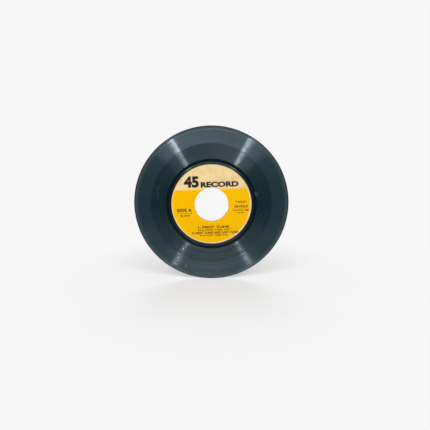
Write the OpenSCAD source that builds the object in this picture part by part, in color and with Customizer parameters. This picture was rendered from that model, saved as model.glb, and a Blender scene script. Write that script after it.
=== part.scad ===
// A 7-inch single: a pressed disc with a spiral groove in each side, a wide centre hole and two paper labels.
// It stands upright on its rim. The spindle axis lies along Y, side A faces -Y, and the origin is the disc's centre.

/* [Disc] */
// Outer diameter of the disc
disc_d = 175; // [172:0.5:180]
// Thickness of the playing area between its two grooved faces
playing_t = 1.2; // [1.0:0.05:1.4]
// Thickness of the raised label area
land_t = 1.9; // [1.7:0.05:2.3]
// Thickness of the raised bead along the rim, which has a full round edge
bead_t = 1.5; // [1.45:0.05:1.65]
// Radial width of the slope from the bead down to the playing area
bead_slope_w = 0.9; // [0.6:0.1:1.2]

/* [Label area] */
// Diameter of each paper label
label_d = 90.6; // [84:0.2:94]
// Thickness of the label paper
label_t = 0.12; // [0.1:0.01:0.16]
// Clearance between the edge of the paper and the edge of its seat
label_fit = 0.1; // [0.05:0.05:0.3]
// How far the printed face lies below the flat ring round it
label_set = 0.05; // [0.03:0.01:0.1]
// Radial width of the flat ring round the label, on which the disc rests when it lies down
ring_w = 1.6; // [1.0:0.1:2.5]
// Radial width of the slope from that ring down to the playing area
ring_slope_w = 1.0; // [0.6:0.1:1.4]

/* [Centre hole] */
// Diameter of the centre hole
hole_d = 38.2; // [30:0.1:40]
// Number of relief notches, where the webs of a push-out centre were snapped off
notch_count = 3; // [2:1:4]
// Width of a notch along the hole's edge
notch_w = 7.3; // [5:0.1:9]
// Depth of a notch beyond the hole's edge
notch_depth = 1.0; // [0.7:0.1:1.5]
// Angle of the first notch above the horizontal, seen from side A
notch_turn = 102; // [90:1:150]
// Width of the web stub left in each notch
web_w = 2.4; // [1.5:0.1:3]
// Thickness of the web stub
web_t = 0.9; // [0.5:0.1:1.2]
// Height of the web stub above the notch's floor
web_stub = 0.4; // [0.2:0.1:0.5]

/* [Groove] */
// Pitch of the spiral in the two bands, drawn coarser than a real one
pitch = 0.8; // [0.7:0.1:1.2]
// Width of the groove at the surface
groove_w = 0.36; // [0.2:0.02:0.44]
// Width of the locked groove, which is cut deeper so that the spiral runs out into it
lock_w = 0.56; // [0.5:0.02:0.7]
// Angle between the groove's two walls
groove_angle = 90; // [80:5:110]
// Distance from the disc's edge to the first turn of the outer band
lead_in_w = 3.5; // [3:0.1:6]
// Turns of the lead-in, from the bead to the outer band
lead_in_turns = 2; // [1:1:2]
// Diameter of the plain gap between the two bands
gap_d = 136.8; // [120:0.2:150]
// Radial width of that gap, which a single wide turn crosses
gap_w = 1.2; // [1.2:0.2:3]
// Radial width of the run-out, from the last turn of the inner band to the locked groove
lead_out_w = 2.4; // [1.6:0.1:3]
// Turns of the lead-out across the run-out
lead_out_turns = 1; // [1:1:2]
// Distance from the foot of the label area's slope to the locked groove
lock_gap = 1.2; // [0.8:0.1:2]

/* [Hidden] */
$fn = 180;
// Straight steps that make one rounded slope
slope_steps = 6;
// How far a cutter reaches past the face that it opens
reach = 0.5;
// Length of the straight piece in which two half turns of the groove meet
join = 0.1;
// Straight steps round the edge of the rim
rim_steps = 9;

disc_r = disc_d / 2;
hole_r = hole_d / 2;
play_z = playing_t / 2;
land_z = land_t / 2;
bead_r = bead_t / 2;
seat_z = land_z - label_set - label_t;
seat_r = label_d / 2 + label_fit;
ring_r = seat_r + ring_w;
ring_foot_r = ring_r + ring_slope_w;
bead_top_r = disc_r - bead_r;
bead_foot_r = bead_top_r - bead_slope_w;

// Radii where the spiral crosses the line to the right of the centre
lock_r = ring_foot_r + lock_gap;
inner_band_end_r = lock_r + lead_out_w;
inner_band_turns = floor((gap_d / 2 - gap_w / 2 - inner_band_end_r) / pitch);
inner_band_r = inner_band_end_r + inner_band_turns * pitch;
outer_band_r = disc_r - lead_in_w;
outer_band_turns = floor((outer_band_r - gap_d / 2 - gap_w / 2) / pitch);
outer_band_end_r = outer_band_r - outer_band_turns * pitch;
lead_in_r = bead_foot_r + bead_slope_w / 2;
lead_in_step = (lead_in_r - outer_band_r) / lead_in_turns;
lead_out_step = lead_out_w / lead_out_turns;
groove_slope = 1 / tan(groove_angle / 2);

// A notch is a circular scallop: its centre and radius follow from its width and depth
notch_edge_x = sqrt(hole_r * hole_r - notch_w * notch_w / 4);
notch_floor_r = hole_r + notch_depth;
notch_x = (notch_floor_r * notch_floor_r - hole_r * hole_r) / (2 * (notch_floor_r - notch_edge_x));
notch_r = notch_floor_r - notch_x;

// A rounded slope from the point a to the point b, level at both ends
function slope(a, b) = [
    for (i = [0 : slope_steps])
        let (t = i / slope_steps)
        [a.x + (b.x - a.x) * t, a.y + (b.y - a.y) * t * t * (3 - 2 * t)]
];

// Outline of the upper half of the disc's section, from the centre out to the top of the bead
function upper_outline() = concat(
    [[0, land_z]],
    slope([ring_r, land_z], [ring_foot_r, play_z]),
    slope([bead_foot_r, play_z], [bead_top_r, bead_r])
);

function mirrored(points) = [for (i = [len(points) - 1 : -1 : 0]) [points[i].x, -points[i].y]];

// Where each turn of a run starts, from radius r inwards
function starts(r, step, turns) = [for (i = [0 : turns - 1]) r - i * step];

// Outline of the teeth that cut the groove: one tooth at each radius, with its sides produced to where they meet
function teeth(radii) =
    let (
        last = len(radii) - 1,
        edge = pitch / 2,
        gaps = [for (i = [0 : last]) i < last ? (radii[i] - radii[i + 1]) / 2 : edge],
        top = crest(max(gaps)) + reach
    )
    concat(
        [[radii[0] + edge, top], [radii[0] + edge, crest(edge)]],
        [
            for (i = [0 : last])
                each [
                    [radii[i], -groove_slope * groove_w / 2],
                    [radii[i] - gaps[i], crest(gaps[i])]
                ]
        ],
        [[radii[last] - edge, top]]
    );

// Height above the surface of a tooth's side at a distance x from the middle of the tooth
function crest(x) = groove_slope * (x - groove_w / 2);

// One half of each turn that crosses at these radii, as arcs about one centre on the right
module half_turns(radii, centre_x) {
    translate([centre_x, join / 2, play_z])
        rotate_extrude(angle = 180)
            polygon(teeth([for (r = radii) r - centre_x]));
}

// The short straight pieces in which the half turns meet, to the right of the centre
module joins(radii) {
    translate([0, join / 2, play_z])
        rotate([90, 0, 0])
            linear_extrude(height = join)
                polygon(teeth(radii));
}

// The lower half of each turn, which takes up the rest of the turn's step
module lower_half_turns(radii, step) {
    rotate([0, 0, 180])
        half_turns([for (r = radii) r - pitch / 2], (step - pitch / 2) / 2);
}

// The closed groove that ends the spiral
module locked_groove() {
    depth = groove_slope * lock_w / 2;
    translate([0, 0, play_z])
        rotate_extrude()
            polygon([
                [lock_r, -depth],
                [lock_r + lock_w, depth],
                [lock_r - lock_w, depth]
            ]);
}

// The whole groove of one side, from the bead to the locked groove, winding inwards anticlockwise.
// The upper half of every turn moves in by half a pitch, and the lower half by the rest of the turn's step.
module groove() {
    lead_in = starts(lead_in_r, lead_in_step, lead_in_turns);
    outer_band = starts(outer_band_r, pitch, outer_band_turns);
    inner_band = starts(inner_band_r, pitch, inner_band_turns);
    lead_out = starts(inner_band_end_r, lead_out_step, lead_out_turns);
    all_turns = concat(lead_in, outer_band, outer_band_end_r, inner_band, lead_out);
    half_turns(all_turns, pitch / 4);
    lower_half_turns(lead_in, lead_in_step);
    lower_half_turns(concat(outer_band, inner_band), pitch);
    lower_half_turns([outer_band_end_r], outer_band_end_r - inner_band_r);
    lower_half_turns(lead_out, lead_out_step);
    joins(all_turns);
    rotate([0, 0, 180])
        joins([for (r = all_turns) r - pitch / 2]);
    locked_groove();
}

// The centre hole with its notches, as one cutter through the whole thickness
module centre_hole(stubs) {
    height = land_t + 2 * reach;
    cylinder(d = hole_d, h = height, center = true);
    for (i = [0 : notch_count - 1])
        rotate([0, 0, notch_turn + i * 360 / notch_count])
            difference() {
                translate([notch_x, 0, 0])
                    cylinder(r = notch_r, h = height, center = true);
                if (stubs)
                    translate([notch_floor_r - web_stub, -web_w / 2, -web_t / 2])
                        cube([web_stub + reach, web_w, web_t]);
            }
}

// The full round edge of the rim, from the top of the bead round to its underside
function rim_outline() = [
    for (i = [1 : rim_steps])
        let (a = 90 - i * 180 / (rim_steps + 1))
        [bead_top_r + bead_r * cos(a), bead_r * sin(a)]
];

// The pressed disc before its hole, seats and grooves
module blank() {
    rotate_extrude()
        polygon(concat(upper_outline(), rim_outline(), mirrored(upper_outline())));
}

// The shallow seat that the label lies in
module label_seat() {
    translate([0, 0, seat_z])
        cylinder(r = seat_r, h = land_z - seat_z + reach);
}

// A label before its hole is punched
module label_blank() {
    translate([0, 0, seat_z])
        cylinder(d = label_d, h = label_t);
}

module on_side_b() {
    rotate([0, 180, 0])
        children();
}

module upright() {
    rotate([90, 0, 0])
        children();
}

module disc() {
    color("#1c2629")
        upright()
            difference() {
                blank();
                centre_hole(stubs = true);
                label_seat();
                on_side_b()
                    label_seat();
                groove();
                on_side_b()
                    groove();
            }
}

module label_side_a() {
    color("#fcc213")
        upright()
            difference() {
                label_blank();
                centre_hole(stubs = false);
            }
}

module label_side_b() {
    color("#fcc213")
        upright()
            difference() {
                on_side_b()
                    label_blank();
                centre_hole(stubs = false);
            }
}

disc();
label_side_a();
label_side_b();
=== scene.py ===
"""A 7-inch single in pressed PVC with a litho printed paper label on each side.

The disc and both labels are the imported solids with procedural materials. The print is thin ink on the paper.
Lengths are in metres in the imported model's frame, and those named MM in millimetres. The spindle axis is Y,
side A faces -Y and Z is up.
"""

import math

import bpy
from mathutils import Euler, Matrix, Vector


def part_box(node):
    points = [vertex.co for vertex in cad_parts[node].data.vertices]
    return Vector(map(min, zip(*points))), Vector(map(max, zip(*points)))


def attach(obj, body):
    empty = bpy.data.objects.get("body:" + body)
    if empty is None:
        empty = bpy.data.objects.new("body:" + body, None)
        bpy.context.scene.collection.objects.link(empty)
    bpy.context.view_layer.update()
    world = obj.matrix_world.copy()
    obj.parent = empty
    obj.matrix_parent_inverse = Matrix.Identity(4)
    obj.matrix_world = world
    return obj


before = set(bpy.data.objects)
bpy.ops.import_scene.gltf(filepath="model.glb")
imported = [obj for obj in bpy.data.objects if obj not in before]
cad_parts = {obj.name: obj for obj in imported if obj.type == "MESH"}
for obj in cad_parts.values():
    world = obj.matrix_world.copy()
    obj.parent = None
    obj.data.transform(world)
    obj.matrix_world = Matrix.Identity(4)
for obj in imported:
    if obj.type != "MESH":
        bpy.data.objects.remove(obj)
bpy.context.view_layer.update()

MM = 0.001
IMAGE_PX = 430

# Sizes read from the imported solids
DISC_LOW, DISC_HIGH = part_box("disc")
DISC_R = DISC_HIGH.x
FLOOR_Z = DISC_LOW.z
LABEL_FACE_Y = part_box("label_side_b")[1].y

# Radii in millimetres that part the disc's zones, outwards from the label
RING_FOOT_MM = 48.2
RUN_OUT_MM = 51.5
GAP_INNER_MM = 67.9
GAP_OUTER_MM = 69.3
LEAD_IN_MM = 84.0
BEAD_FOOT_MM = 85.9
RIM_MM = round(DISC_R / MM, 2)
# Width over which one zone turns into the next
ZONE_BLEND_MM = 0.3


# Colour and node helpers


def linear(hex_colour):
    """An sRGB hex colour as linear RGBA."""
    channels = [int(hex_colour[i : i + 2], 16) / 255 for i in (1, 3, 5)]
    return [c / 12.92 if c <= 0.04045 else ((c + 0.055) / 1.055) ** 2.4 for c in channels] + [1.0]


def add(tree, kind, settings=None, inputs=None):
    """Adds a node with its settings, and sets each input or links it to another node's output."""
    node = tree.nodes.new(kind)
    for name, value in (settings or {}).items():
        setattr(node, name, value)
    for key, value in (inputs or {}).items():
        if isinstance(value, bpy.types.NodeSocket):
            tree.links.new(value, node.inputs[key])
        else:
            node.inputs[key].default_value = value
    return node


def new_material(name):
    material = bpy.data.materials.new(name)
    material.use_nodes = True
    material.node_tree.nodes.clear()
    return material, material.node_tree


def wear(obj, material):
    """Gives the object this material and no other."""
    obj.data.materials.clear()
    obj.data.materials.append(material)


def place_nodes(tree):
    """The point's place across the disc and its distance from the spindle axis, both in millimetres."""
    coordinates = add(tree, "ShaderNodeTexCoord").outputs["Object"]
    scale = (1 / MM, 0, 1 / MM)
    flat = add(tree, "ShaderNodeVectorMath", {"operation": "MULTIPLY"}, {0: coordinates, 1: scale})
    radius = add(tree, "ShaderNodeVectorMath", {"operation": "LENGTH"}, {0: flat.outputs["Vector"]})
    return flat.outputs["Vector"], radius.outputs["Value"]


def as_rgba(value):
    """A hex colour as linear RGBA, and a number as that grey."""
    return linear(value) if isinstance(value, str) else [value, value, value, 1.0]


def by_radius(tree, radius_mm, stops):
    """A number or a colour for each zone of the disc. A stop is a radius in millimetres and its value."""
    share = add(tree, "ShaderNodeMath", {"operation": "DIVIDE"}, {0: radius_mm, 1: RIM_MM})
    ramp = add(tree, "ShaderNodeValToRGB", inputs={"Fac": share.outputs[0]})
    elements = ramp.color_ramp.elements
    elements.remove(elements[1])
    elements[0].position = 0
    elements[0].color = as_rgba(stops[0][1])
    for stop_mm, value in stops:
        elements.new(stop_mm / RIM_MM).color = as_rgba(value)
    return ramp.outputs["Color"]


# Grooves of the disc

# Slope of the groove's walls as the light finds them, in quiet passages and in loud ones
QUIET_SLOPE = 0.4
LOUD_SLOPE = 0.52
# Length of a passage along the radius, and the values of its noise at which it is quiet and loud
PASSAGE_MM = 2.5
QUIET_NOISE = 0.35
LOUD_NOISE = 0.65
# Real turns are about 0.1 mm apart, too fine to show. The land between two turns of the drawn groove stands
# for more of them, so it carries rings of its own, drawn as coarse as the groove.
RING_PITCH_MM = 0.8
# Share of the pitch over which a ring turns from its outer slope to its inner one
RING_CREST = 0.1
# Radii between which those rings fade out in the lead-in
LAST_RING_MM = 84.8
PLAIN_MM = 85.2
# The rings lie on the land, whose normal points along the axis, and not on the walls. These are the parts of
# a normal along the axis between which they come in.
WALL_FACING = 0.9
LAND_FACING = 0.99


def wall_lean(tree, radius):
    """Slope of the walls, which changes from passage to passage as a real groove's does with its music."""
    music = add(
        tree,
        "ShaderNodeTexNoise",
        {"noise_dimensions": "1D"},
        {"W": radius, "Scale": 1 / PASSAGE_MM, "Detail": 1.0},
    )
    lean = add(
        tree,
        "ShaderNodeMapRange",
        inputs={
            "Value": music.outputs[0],
            "From Min": QUIET_NOISE,
            "From Max": LOUD_NOISE,
            "To Min": QUIET_SLOPE,
            "To Max": LOUD_SLOPE,
        },
    )
    return lean.outputs["Result"]


def leaning_walls(tree, face, lean, cut):
    """The solid's own normal, drawn out along the axis, which eases the drawn groove's 45 degree walls."""
    flatter = add(tree, "ShaderNodeMath", {"operation": "DIVIDE"}, {0: 1.0, 1: lean})
    drawn_out = add(tree, "ShaderNodeMix", inputs={"Factor": cut, "A": 1.0, "B": flatter.outputs[0]})
    scale = add(tree, "ShaderNodeCombineXYZ", inputs={"X": 1.0, "Y": drawn_out.outputs["Result"], "Z": 1.0})
    eased = add(
        tree,
        "ShaderNodeVectorMath",
        {"operation": "MULTIPLY"},
        {0: face, 1: scale.outputs["Vector"]},
    )
    wall = add(tree, "ShaderNodeVectorMath", {"operation": "NORMALIZE"}, {0: eased.outputs["Vector"]})
    return wall.outputs["Vector"]


def ring_tilt(tree, place, radius, face, lean, cut):
    """How the fine rings tilt the normal on the flat land, outwards and inwards by turns."""
    turns = add(tree, "ShaderNodeMath", {"operation": "DIVIDE"}, {0: radius, 1: RING_PITCH_MM})
    phase = add(tree, "ShaderNodeMath", {"operation": "FRACT"}, {0: turns.outputs[0]})
    way = add(
        tree,
        "ShaderNodeMapRange",
        inputs={
            "Value": phase.outputs[0],
            "From Min": 0.5 - RING_CREST / 2,
            "From Max": 0.5 + RING_CREST / 2,
            "To Min": 1.0,
            "To Max": -1.0,
        },
    )
    along = add(tree, "ShaderNodeSeparateXYZ", inputs={0: face})
    facing = add(tree, "ShaderNodeMath", {"operation": "ABSOLUTE"}, {0: along.outputs["Y"]})
    flat = add(
        tree,
        "ShaderNodeMapRange",
        inputs={"Value": facing.outputs[0], "From Min": WALL_FACING, "From Max": LAND_FACING},
    )
    on_land = add(tree, "ShaderNodeMath", {"operation": "MULTIPLY"}, {0: flat.outputs["Result"], 1: cut})
    steepness = add(tree, "ShaderNodeMath", {"operation": "MULTIPLY"}, {0: on_land.outputs[0], 1: lean})
    slope = add(
        tree,
        "ShaderNodeMath",
        {"operation": "MULTIPLY"},
        {0: way.outputs["Result"], 1: steepness.outputs[0]},
    )
    outwards = add(tree, "ShaderNodeVectorMath", {"operation": "NORMALIZE"}, {0: place})
    tilt = add(
        tree,
        "ShaderNodeVectorMath",
        {"operation": "SCALE"},
        {0: outwards.outputs["Vector"], "Scale": slope.outputs[0]},
    )
    return tilt.outputs["Vector"]


def groove_normal(tree, place, radius):
    """The walls of the groove, and the fine rings on the land between its turns."""
    lean = wall_lean(tree, radius)
    cut = by_radius(
        tree,
        radius,
        [
            (RUN_OUT_MM - ZONE_BLEND_MM, 0.0),
            (RUN_OUT_MM, 1.0),
            (LAST_RING_MM, 1.0),
            (PLAIN_MM, 0.0),
        ],
    )
    face = add(tree, "ShaderNodeNewGeometry").outputs["Normal"]
    leant = add(
        tree,
        "ShaderNodeVectorMath",
        {"operation": "ADD"},
        {0: leaning_walls(tree, face, lean, cut), 1: ring_tilt(tree, place, radius, face, lean, cut)},
    )
    normal = add(tree, "ShaderNodeVectorMath", {"operation": "NORMALIZE"}, {0: leant.outputs["Vector"]})
    return normal.outputs["Vector"]


# Colour, gloss and wear of the disc

COLD_SHEEN = "#e2f5ff"
# Rings of slightly different tone for each millimetre of radius, and how far a tone strays from the mean
TONES_PER_MM = 1.1
TONE_SWING = 0.18
# Values of the noise at which a ring is at its darkest and at its palest
DARK_NOISE = 0.3
PALE_NOISE = 0.7
DUST = "#8b9a9c"
DUST_COVERAGE = 0.42
# Real specks and hairlines are about a third as wide, too fine to show. A reach is half the drawn width.
SPECK_SPACING_MM = 9.0
SPECK_REACH_MM = 0.63
# Share of the places for a speck that stay clean
CLEAN_SHARE = 0.55
HAIRLINE_SPACING_MM = 42.0
HAIRLINE_REACH_MM = 0.147
# The most that the hairlines bend off the straight, and over what length
HAIRLINE_SWAY_MM = 24.0
HAIRLINE_BEND_MM = 20.0
# Size of the patches in which they show, the values of the noise at which a patch starts and is full, and how
# much a line covers there
HAIRLINE_PATCH_MM = 22.2
PATCH_FROM = 0.55
PATCH_FULL = 0.7
HAIRLINE_SHARE = 0.6


def pvc_colour(tree, radius):
    """Near-black with a cold tint, deepest on the run-out and paler outwards; the pale ring at the bead is
    painted highlight.
    """
    clean = by_radius(
        tree,
        radius,
        [
            (RING_FOOT_MM, "#0b1a1e"),
            (RING_FOOT_MM + 0.5, "#061518"),
            (RUN_OUT_MM - ZONE_BLEND_MM, "#061518"),
            (RUN_OUT_MM, "#10272e"),
            (GAP_INNER_MM, "#12282f"),
            (GAP_OUTER_MM, "#1c323a"),
            # The paler stops over the lead-in and the bead's foot are a painted highlight, where the bead's
            # slope catches the lamps
            (LEAD_IN_MM - 2.0, "#1f343b"),
            (LEAD_IN_MM - 0.6, "#2f4046"),
            (BEAD_FOOT_MM, "#3a484c"),
            (RIM_MM - 0.8, "#20292c"),
        ],
    )
    rings = add(
        tree,
        "ShaderNodeTexNoise",
        {"noise_dimensions": "1D"},
        {"W": radius, "Scale": TONES_PER_MM, "Detail": 5.0},
    )
    uneven = add(
        tree,
        "ShaderNodeMapRange",
        inputs={
            "Value": rings.outputs[0],
            "From Min": DARK_NOISE,
            "From Max": PALE_NOISE,
            "To Min": 1 - TONE_SWING,
            "To Max": 1 + TONE_SWING,
        },
    )
    colour = add(
        tree,
        "ShaderNodeVectorMath",
        {"operation": "SCALE"},
        {0: clean, "Scale": uneven.outputs["Result"]},
    )
    return colour.outputs["Vector"]


def dullness(tree, radius):
    """Roughness by zone: mirror gloss on the run-out, duller on the worn ring and the trimmed rim."""
    return by_radius(
        tree,
        radius,
        [
            (RING_FOOT_MM, 0.32),
            (RING_FOOT_MM + ZONE_BLEND_MM, 0.09),
            (RUN_OUT_MM - ZONE_BLEND_MM, 0.09),
            (RUN_OUT_MM, 0.2),
            (LEAD_IN_MM, 0.2),
            (BEAD_FOOT_MM, 0.38),
        ],
    )


def dust_specks(tree, place):
    """Where a pale round speck lies, each of its own size."""
    specks = add(
        tree,
        "ShaderNodeTexVoronoi",
        {"voronoi_dimensions": "3D"},
        {"Vector": place, "Scale": 1 / SPECK_SPACING_MM, "Randomness": 1.0},
    )
    size = add(
        tree,
        "ShaderNodeTexWhiteNoise",
        {"noise_dimensions": "3D"},
        {"Vector": specks.outputs["Position"]},
    )
    reach = add(
        tree,
        "ShaderNodeMapRange",
        inputs={
            "Value": size.outputs["Value"],
            "From Min": CLEAN_SHARE,
            "To Max": SPECK_REACH_MM / SPECK_SPACING_MM,
        },
    )
    speck = add(
        tree,
        "ShaderNodeMath",
        {"operation": "LESS_THAN"},
        {0: specks.outputs["Distance"], 1: reach.outputs["Result"]},
    )
    return speck.outputs[0]


def hairlines(tree, place):
    """Where a fine scratch runs, in patches and never quite straight."""
    bend = add(
        tree,
        "ShaderNodeTexNoise",
        {"noise_dimensions": "3D"},
        {"Vector": place, "Scale": 1 / HAIRLINE_BEND_MM},
    )
    bent = add(
        tree,
        "ShaderNodeVectorMath",
        {"operation": "MULTIPLY_ADD"},
        {0: bend.outputs["Color"], 1: (HAIRLINE_SWAY_MM,) * 3, 2: place},
    )
    lines = add(
        tree,
        "ShaderNodeTexVoronoi",
        {"voronoi_dimensions": "3D", "feature": "DISTANCE_TO_EDGE"},
        {"Vector": bent.outputs["Vector"], "Scale": 1 / HAIRLINE_SPACING_MM},
    )
    thin = add(
        tree,
        "ShaderNodeMath",
        {"operation": "LESS_THAN"},
        {0: lines.outputs["Distance"], 1: HAIRLINE_REACH_MM / HAIRLINE_SPACING_MM},
    )
    patches = add(
        tree,
        "ShaderNodeTexNoise",
        {"noise_dimensions": "3D"},
        {"Vector": place, "Scale": 1 / HAIRLINE_PATCH_MM, "Detail": 2.0},
    )
    shown = add(
        tree,
        "ShaderNodeMapRange",
        inputs={
            "Value": patches.outputs[0],
            "From Min": PATCH_FROM,
            "From Max": PATCH_FULL,
            "To Max": HAIRLINE_SHARE,
        },
    )
    hairline = add(
        tree,
        "ShaderNodeMath",
        {"operation": "MULTIPLY"},
        {0: thin.outputs[0], 1: shown.outputs["Result"]},
    )
    return hairline.outputs[0]


def pressed_pvc():
    """Black PVC pressed between two stampers: a hard mirror gloss on the plain zones.

    The grooves run round the spindle, so their walls spread light along the radius and draw each lamp as a
    streak. Away from the streaks they look dark and silky.
    """
    material, tree = new_material("pressed_pvc")
    place, radius = place_nodes(tree)
    marks = add(
        tree,
        "ShaderNodeMath",
        {"operation": "MAXIMUM"},
        {0: dust_specks(tree, place), 1: hairlines(tree, place)},
    )
    coverage = add(
        tree,
        "ShaderNodeMath",
        {"operation": "MULTIPLY"},
        {0: marks.outputs[0], 1: DUST_COVERAGE},
    )
    colour = add(
        tree,
        "ShaderNodeMix",
        {"data_type": "RGBA"},
        {"Factor": coverage.outputs[0], "A": pvc_colour(tree, radius), "B": linear(DUST)},
    )
    # The tangent runs round the spindle axis, and a quarter turn spreads the light along the radius
    tangent = add(tree, "ShaderNodeTangent", {"direction_type": "RADIAL", "axis": "Y"})
    shader = add(
        tree,
        "ShaderNodeBsdfPrincipled",
        inputs={
            "Base Color": colour.outputs["Result"],
            "Roughness": dullness(tree, radius),
            "IOR": 1.53,
            "Specular IOR Level": 0.55,
            "Specular Tint": linear(COLD_SHEEN),
            "Anisotropic": 1.0,
            "Anisotropic Rotation": 0.25,
            "Tangent": tangent.outputs["Tangent"],
            "Normal": groove_normal(tree, place, radius),
        },
    )
    add(tree, "ShaderNodeOutputMaterial", inputs={"Surface": shader.outputs["BSDF"]})
    return material


# Label paper and its flat yellow

PAPER = "#dfc893"
STAIN = "#c9a47c"
YELLOW = "#edb500"
YELLOW_WORN = "#e7ab00"
# The print is turned a little and sits off the paper's middle, as it often does
PRINT_TURN = math.radians(1.75)
PRINT_SHIFT_MM = (-0.45, 0.3)
PRINTED_R_MM = 44.0
# Height above the spindle axis at which the yellow ends
HEAD_LINE_MM = 17.4
# Half the width over which its edge softens, as the ink spreads in the paper
INK_SPREAD_MM = 0.1
# Size of the stains, the values of the noise at which one starts and is full, and how much it covers there
STAIN_MM = 11.0
STAIN_FROM = 0.48
STAIN_FULL = 0.7
STAIN_SHARE = 0.6
MOTTLE_MM = 4.0
# Real fibres are about 0.03 mm wide, too fine to show
FIBRE_MM = 0.25
FIBRE_HEIGHT_MM = 0.02


def yellow_coverage(tree, place, side):
    """Where the yellow is printed: below a straight line and within a circle."""
    up = (-side * math.sin(PRINT_TURN), 0, math.cos(PRINT_TURN))
    height = add(tree, "ShaderNodeVectorMath", {"operation": "DOT_PRODUCT"}, {0: place, 1: up})
    below = add(
        tree,
        "ShaderNodeMapRange",
        inputs={
            "Value": height.outputs["Value"],
            "From Min": HEAD_LINE_MM + INK_SPREAD_MM,
            "From Max": HEAD_LINE_MM - INK_SPREAD_MM,
        },
    )
    middle = (side * PRINT_SHIFT_MM[0], 0, PRINT_SHIFT_MM[1])
    from_middle = add(tree, "ShaderNodeVectorMath", {"operation": "DISTANCE"}, {0: place, 1: middle})
    within = add(
        tree,
        "ShaderNodeMapRange",
        inputs={
            "Value": from_middle.outputs["Value"],
            "From Min": PRINTED_R_MM + INK_SPREAD_MM,
            "From Max": PRINTED_R_MM - INK_SPREAD_MM,
        },
    )
    printed = add(
        tree,
        "ShaderNodeMath",
        {"operation": "MULTIPLY"},
        {0: below.outputs["Result"], 1: within.outputs["Result"]},
    )
    return printed.outputs[0]


def stained_paper(tree, place):
    """Cream paper with faint brown stains, as it ages."""
    stain = add(
        tree,
        "ShaderNodeTexNoise",
        inputs={"Vector": place, "Scale": 1 / STAIN_MM, "Detail": 5.0, "Roughness": 0.65},
    )
    stained = add(
        tree,
        "ShaderNodeMapRange",
        inputs={
            "Value": stain.outputs[0],
            "From Min": STAIN_FROM,
            "From Max": STAIN_FULL,
            "To Max": STAIN_SHARE,
        },
    )
    paper = add(
        tree,
        "ShaderNodeMix",
        {"data_type": "RGBA"},
        {"Factor": stained.outputs["Result"], "A": linear(PAPER), "B": linear(STAIN)},
    )
    return paper.outputs["Result"]


def mottled_yellow(tree, place):
    """Flat yellow ink that has worn a little unevenly."""
    mottle = add(
        tree,
        "ShaderNodeTexNoise",
        inputs={"Vector": place, "Scale": 1 / MOTTLE_MM, "Detail": 4.0},
    )
    yellow = add(
        tree,
        "ShaderNodeMix",
        {"data_type": "RGBA"},
        {"Factor": mottle.outputs[0], "A": linear(YELLOW), "B": linear(YELLOW_WORN)},
    )
    return yellow.outputs["Result"]


def printed_label_paper(name, side):
    """Uncoated label paper with one flat yellow printed below a bare head, pressed into the hot disc.

    It is matt, and its fibres show as a fine soft grain.
    """
    material, tree = new_material(f"litho_printed_paper_{name}")
    place, _ = place_nodes(tree)
    colour = add(
        tree,
        "ShaderNodeMix",
        {"data_type": "RGBA"},
        {
            "Factor": yellow_coverage(tree, place, side),
            "A": stained_paper(tree, place),
            "B": mottled_yellow(tree, place),
        },
    )
    fibres = add(
        tree,
        "ShaderNodeTexNoise",
        inputs={"Vector": place, "Scale": 1 / FIBRE_MM, "Detail": 3.0},
    )
    grain = add(
        tree,
        "ShaderNodeBump",
        inputs={"Height": fibres.outputs[0], "Strength": 0.15, "Distance": FIBRE_HEIGHT_MM * MM},
    )
    shader = add(
        tree,
        "ShaderNodeBsdfPrincipled",
        inputs={
            "Base Color": colour.outputs["Result"],
            "Roughness": 0.75,
            "IOR": 1.45,
            "Specular IOR Level": 0.05,
            "Normal": grain.outputs["Normal"],
        },
    )
    add(tree, "ShaderNodeOutputMaterial", inputs={"Surface": shader.outputs["BSDF"]})
    return material


# Print in black ink

INK_DENSE = "#17110d"
INK_THIN = "#30261c"
INK_PATCH_MM = 0.6
INK_THICK = 0.02 * MM
INK_SUNK = 0.005 * MM

# In place of words, it calls for a ruled line
RULE = None
# Each line of print: its words, its middle across and up, its width and height, all in millimetres, and how
# much its strokes are thickened. Every word is a plain one that any record could carry.
# {side}, {one} and {two} differ between the sides.
PRINT_LINES = [
    ("45", (-21.9, 26.2), (17.0, 13.0), 0.05),
    ("RECORD", (9.8, 22.8), (42.6, 6.4), 0.055),
    ("SIDE {side}", (-31.0, -5.7), (16.8, 4.0), 0.03),
    (RULE, (-30.6, -9.3), (17.6, 0.35), 0),
    ("45 RPM", (-30.5, -12.0), (11.0, 1.9), 0.02),
    ("7 INCH", (33.2, 2.2), (12.4, 2.6), 0.03),
    ("SINGLE", (33.4, -3.0), (15.4, 2.6), 0.03),
    ("PLAYING TIME", (33.2, -7.3), (17.8, 1.8), 0.025),
    ("5:40", (33.2, -10.1), (7.0, 1.6), 0.025),
    ("{one}. FIRST TUNE", (1.6, -26.0), (36.0, 2.8), 0.035),
    ("PLAYING TIME 3:05", (2.0, -29.3), (36.0, 1.9), 0.02),
    ("{two}. NEXT TUNE AND LAST TUNE", (3.0, -32.5), (53.0, 2.7), 0.035),
    ("PLAYING TIME 2:35", (1.6, -35.6), (32.0, 1.8), 0.02),
]


def litho_ink():
    """Black litho ink dried on the paper, which stands a hair above it and is a little glossier."""
    material, tree = new_material("litho_black_ink")
    place, _ = place_nodes(tree)
    coverage = add(
        tree,
        "ShaderNodeTexNoise",
        inputs={"Vector": place, "Scale": 1 / INK_PATCH_MM, "Detail": 3.0},
    )
    colour = add(
        tree,
        "ShaderNodeMix",
        {"data_type": "RGBA"},
        {"Factor": coverage.outputs[0], "A": linear(INK_DENSE), "B": linear(INK_THIN)},
    )
    shader = add(
        tree,
        "ShaderNodeBsdfPrincipled",
        inputs={
            "Base Color": colour.outputs["Result"],
            "Roughness": 0.5,
            "IOR": 1.5,
            "Specular IOR Level": 0.3,
        },
    )
    add(tree, "ShaderNodeOutputMaterial", inputs={"Surface": shader.outputs["BSDF"]})
    return material


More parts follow.
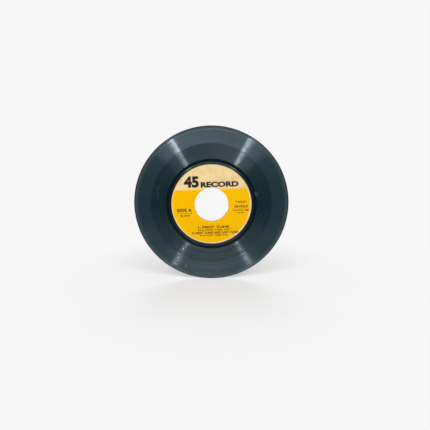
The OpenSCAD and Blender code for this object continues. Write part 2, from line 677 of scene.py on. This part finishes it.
def flat_words(words, weight):
    """The words as a flat slab, with its lower face at a negative Z and its upper one at a positive Z."""
    curve = bpy.data.curves.new("words", "FONT")
    curve.body = words
    curve.offset = weight
    curve.resolution_u = 3
    curve.extrude = 1.0
    typeset = bpy.data.objects.new("words", curve)
    bpy.context.scene.collection.objects.link(typeset)
    mesh = bpy.data.meshes.new_from_object(typeset.evaluated_get(bpy.context.evaluated_depsgraph_get()))
    bpy.data.objects.remove(typeset)
    return [v.co.copy() for v in mesh.vertices], [tuple(p.vertices) for p in mesh.polygons]


def flat_rule():
    """A ruled line as a slab like that of the words."""
    corners = [Vector((x, y, z)) for z in (-1, 1) for x, y in ((0, 0), (1, 0), (1, 1), (0, 1))]
    sides = [(i, (i + 1) % 4, (i + 1) % 4 + 4, i + 4) for i in range(4)]
    return corners, [(3, 2, 1, 0), (4, 5, 6, 7)] + sides


def fitted(values, middle, size):
    """Values moved and stretched to this middle and size."""
    low = min(values)
    high = max(values)
    return [(value - (low + high) / 2) / (high - low) * size + middle for value in values]


def print_piece(name, side, texts, ink):
    """All the print of one side, as ink that stands on the paper."""
    verts, faces = [], []
    for words, middle, size, weight in PRINT_LINES:
        points, polygons = flat_rule() if words is RULE else flat_words(words.format(**texts), weight)
        across = fitted([p.x for p in points], middle[0], size[0])
        up = fitted([p.y for p in points], middle[1], size[1])
        start = len(verts)
        for x, z, point in zip(across, up, points):
            proud = INK_THICK - INK_SUNK if point.z > 0 else -INK_SUNK
            verts.append(Vector((x * MM, -LABEL_FACE_Y - proud, z * MM)))
        faces += [tuple(start + i for i in polygon) for polygon in polygons]
    mesh = bpy.data.meshes.new(name)
    mesh.from_pydata(verts, [], faces)
    mesh.transform(Matrix.Rotation(-PRINT_TURN, 4, "Y"))
    if side < 0:
        mesh.transform(Matrix.Rotation(math.pi, 4, "Z"))
    piece = bpy.data.objects.new(name, mesh)
    bpy.context.scene.collection.objects.link(piece)
    wear(piece, ink)
    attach(piece, "root")


# Camera

# Pixel of the photograph at which the middle of the centre hole lies, and the disc's width there
HOLE_PX = (211.5, 204.5)
DISC_WIDE_PX = 154.2
CAMERA_DISTANCE = 0.43
CAMERA_RISE = math.radians(8.8)
SENSOR_MM = 36.0


def make_camera():
    """Looks slightly down at side A, so that the hole and the rim land where the photograph has them."""
    focal_px = DISC_WIDE_PX * CAMERA_DISTANCE / (2 * DISC_R)
    data = bpy.data.cameras.new("camera")
    data.sensor_width = SENSOR_MM
    data.lens = SENSOR_MM * focal_px / IMAGE_PX
    camera = bpy.data.objects.new("camera", data)
    camera.location = CAMERA_DISTANCE * Vector((0, -math.cos(CAMERA_RISE), math.sin(CAMERA_RISE)))
    right_px = IMAGE_PX / 2 - HOLE_PX[0]
    down_px = IMAGE_PX / 2 - HOLE_PX[1]
    pitch = math.pi / 2 - CAMERA_RISE - math.atan2(down_px, focal_px)
    yaw = -math.atan2(right_px, focal_px)
    camera.rotation_euler = Euler((pitch, 0, yaw))
    bpy.context.scene.collection.objects.link(camera)
    bpy.context.scene.camera = camera


# Backdrop and floor

BACKGROUND = "#f7f7f7"
SWEEP = "#f2f2f2"
AMBIENT = 0.08
# Share of the backdrop's white that the room in front of and behind the disc throws back
ROOM_SHARE = 0.06
# Parts of a direction along the axis between which the white dims to that share
DIM_FROM = 0.15
DIM_TO = 0.45
# How much further round the white reaches high up on either side, and between which upward and sideways
# parts of the direction that builds up
SIDE_REACH = 0.3
HIGH_FROM = 0.15
HIGH_TO = 0.4
BESIDE_FROM = 0.3
BESIDE_TO = 0.55
FLOOR_REACH = 3.0
# Distances from the foot of the disc over which the floor and its shadow fade into the backdrop, in metres
FADE_FROM = 0.03
FADE_TO = 0.22
# How much of what shows at the disc's foot is the floor, the rest being backdrop
FLOOR_SHARE = 0.6
# Distances from the disc's plane over which the floor dims in reflections, in metres
FLOOR_DIM_FROM = 0.03
FLOOR_DIM_TO = 0.12


def backdrop_strength(tree, front_to_back):
    """How bright the backdrop shows to the camera, through glass and in reflections.

    It is white, but a reflection finds it darker in front of and behind the disc, as the room there is.
    """
    path = add(tree, "ShaderNodeLightPath")
    clear = add(
        tree,
        "ShaderNodeMath",
        {"operation": "MAXIMUM"},
        {0: path.outputs["Is Camera Ray"], 1: path.outputs["Is Transmission Ray"]},
    )
    reflected = add(
        tree,
        "ShaderNodeMath",
        {"operation": "MULTIPLY"},
        {0: path.outputs["Is Glossy Ray"], 1: front_to_back},
    )
    shown = add(
        tree,
        "ShaderNodeMath",
        {"operation": "MAXIMUM"},
        {0: clear.outputs[0], 1: reflected.outputs[0]},
    )
    return shown.outputs[0], path.outputs["Is Diffuse Ray"]


def room_white(tree):
    """How white a reflection finds the backdrop in its direction.

    The white reaches further round high up on either side, where it lights the shoulders of the grooves.
    """
    world = add(tree, "ShaderNodeTexCoord").outputs["Generated"]
    direction = add(tree, "ShaderNodeSeparateXYZ", inputs={0: world})
    facing = add(tree, "ShaderNodeMath", {"operation": "ABSOLUTE"}, {0: direction.outputs["Y"]})
    sideways = add(tree, "ShaderNodeMath", {"operation": "ABSOLUTE"}, {0: direction.outputs["X"]})
    high = add(
        tree,
        "ShaderNodeMapRange",
        inputs={
            "Value": direction.outputs["Z"],
            "From Min": HIGH_FROM,
            "From Max": HIGH_TO,
            "To Max": SIDE_REACH,
        },
    )
    beside = add(
        tree,
        "ShaderNodeMapRange",
        inputs={"Value": sideways.outputs[0], "From Min": BESIDE_FROM, "From Max": BESIDE_TO},
    )
    further = add(
        tree,
        "ShaderNodeMath",
        {"operation": "MULTIPLY"},
        {0: high.outputs["Result"], 1: beside.outputs["Result"]},
    )
    squarely = add(
        tree,
        "ShaderNodeMath",
        {"operation": "SUBTRACT"},
        {0: facing.outputs[0], 1: further.outputs[0]},
    )
    white = add(
        tree,
        "ShaderNodeMapRange",
        inputs={
            "Value": squarely.outputs[0],
            "From Min": DIM_FROM,
            "From Max": DIM_TO,
            "To Min": 1.0,
            "To Max": ROOM_SHARE,
        },
    )
    return white.outputs["Result"]


def make_world():
    """The backdrop all round, and a little even light from it on matt surfaces."""
    world = bpy.data.worlds.new("world")
    bpy.context.scene.world = world
    world.use_nodes = True
    tree = world.node_tree
    tree.nodes.clear()
    shown, diffuse = backdrop_strength(tree, room_white(tree))
    fill = add(tree, "ShaderNodeMath", {"operation": "MULTIPLY"}, {0: diffuse, 1: AMBIENT})
    strength = add(tree, "ShaderNodeMath", {"operation": "MAXIMUM"}, {0: shown, 1: fill.outputs[0]})
    background = add(
        tree,
        "ShaderNodeBackground",
        inputs={"Color": linear(BACKGROUND), "Strength": strength.outputs[0]},
    )
    add(tree, "ShaderNodeOutputWorld", inputs={"Surface": background.outputs[0]})


def paper_sweep():
    """A matt white paper sweep, which keeps the disc's shadow and fades into the backdrop further off."""
    material, tree = new_material("matt_paper_sweep")
    # It is no lamp, so no light is looked for on it
    material.cycles.emission_sampling = "NONE"
    place = add(tree, "ShaderNodeNewGeometry").outputs["Position"]
    away = add(tree, "ShaderNodeVectorMath", {"operation": "DISTANCE"}, {0: place, 1: (0, 0, FLOOR_Z)})
    fade = add(
        tree,
        "ShaderNodeMapRange",
        {"interpolation_type": "SMOOTHSTEP"},
        {
            "Value": away.outputs["Value"],
            "From Min": FADE_FROM,
            "From Max": FADE_TO,
            "To Min": FLOOR_SHARE,
            "To Max": 0.0,
        },
    )
    along = add(tree, "ShaderNodeSeparateXYZ", inputs={0: place})
    off_plane = add(tree, "ShaderNodeMath", {"operation": "ABSOLUTE"}, {0: along.outputs["Y"]})
    dim = add(
        tree,
        "ShaderNodeMapRange",
        inputs={
            "Value": off_plane.outputs[0],
            "From Min": FLOOR_DIM_FROM,
            "From Max": FLOOR_DIM_TO,
            "To Min": 1.0,
            "To Max": ROOM_SHARE,
        },
    )
    shown, diffuse = backdrop_strength(tree, dim.outputs["Result"])
    near = add(tree, "ShaderNodeMath", {"operation": "MULTIPLY"}, {0: fade.outputs["Result"], 1: shown})
    share = add(tree, "ShaderNodeMath", {"operation": "MAXIMUM"}, {0: diffuse, 1: near.outputs[0]})
    matt = add(tree, "ShaderNodeBsdfDiffuse", inputs={"Color": linear(SWEEP)})
    backdrop = add(tree, "ShaderNodeEmission", inputs={"Color": linear(BACKGROUND), "Strength": shown})
    surface = add(
        tree,
        "ShaderNodeMixShader",
        inputs={0: share.outputs[0], 1: backdrop.outputs[0], 2: matt.outputs[0]},
    )
    add(tree, "ShaderNodeOutputMaterial", inputs={"Surface": surface.outputs[0]})
    return material


def make_floor():
    """The floor that the disc stands on."""
    mesh = bpy.data.meshes.new("floor")
    corners = [(-1, -1), (1, -1), (1, 1), (-1, 1)]
    mesh.from_pydata([(x * FLOOR_REACH, y * FLOOR_REACH, FLOOR_Z) for x, y in corners], [], [(0, 1, 2, 3)])
    floor = bpy.data.objects.new("floor", mesh)
    bpy.context.scene.collection.objects.link(floor)
    wear(floor, paper_sweep())


# Lamps

# Distance from the middle of the disc, in metres
LAMP_DISTANCE = 1.0
# How far each lamp leans off the disc's axis, its size in metres and its power in watts
OVERHEAD_LEAN = 0.85
OVERHEAD_SIZE = (2.0, 0.42)
OVERHEAD_WATTS = 8.4
STRIP_LEAN = 0.85
STRIP_SIZE = (0.3, 0.008)
STRIP_WATTS = 2.15
BACK_LEAN = 0.7
BACK_SIZE = (0.8, 0.4)
BACK_WATTS = 5.0
# The angles at which the grooves draw the strip lamps as streaks
STREAK_DEG = (59.0, 122.0)
UP_DEG = 90.0


def lamp_place(angle_deg, lean, front=1):
    """Where a lamp stands so that the grooves show it to the camera along this angle."""
    angle = math.radians(angle_deg)
    x = lean * math.cos(angle)
    z = lean * math.sin(angle) - math.sin(CAMERA_RISE)
    return LAMP_DISTANCE * Vector((x, -front * math.sqrt(1 - x * x - z * z), z))


def softbox(name, place, size, watts, turn=0.0, shape="RECTANGLE"):
    """A flat lamp at a place, turned to the middle of the disc and then about its own axis."""
    data = bpy.data.lights.new(name, "AREA")
    data.shape = shape
    data.size, data.size_y = size
    data.energy = watts
    lamp = bpy.data.objects.new(name, data)
    lamp.location = place
    aim = (-Vector(place)).to_track_quat("-Z", "Y").to_matrix()
    lamp.rotation_euler = (aim @ Matrix.Rotation(turn, 3, "Z")).to_euler()
    bpy.context.scene.collection.objects.link(lamp)


def make_lamps():
    """A wide soft lamp above the camera, a narrow strip on either side, and a soft lamp behind for side B."""
    overhead = lamp_place(UP_DEG, OVERHEAD_LEAN)
    softbox("front_overhead", overhead, OVERHEAD_SIZE, OVERHEAD_WATTS, shape="ELLIPSE")
    for angle_deg in STREAK_DEG:
        place = lamp_place(angle_deg, STRIP_LEAN)
        softbox(f"front_strip_{angle_deg:.0f}", place, STRIP_SIZE, STRIP_WATTS, math.radians(angle_deg))
    softbox("back_overhead", lamp_place(UP_DEG, BACK_LEAN, front=-1), BACK_SIZE, BACK_WATTS)


make_camera()
make_world()
make_floor()
make_lamps()

wear(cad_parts["disc"], pressed_pvc())
wear(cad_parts["label_side_a"], printed_label_paper("side_a", 1))
wear(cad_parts["label_side_b"], printed_label_paper("side_b", -1))
ink = litho_ink()
print_piece("print_side_a", 1, {"side": "A", "one": 1, "two": 2}, ink)
print_piece("print_side_b", -1, {"side": "B", "one": 3, "two": 4}, ink)

bpy.context.scene.view_settings.view_transform = "Standard"
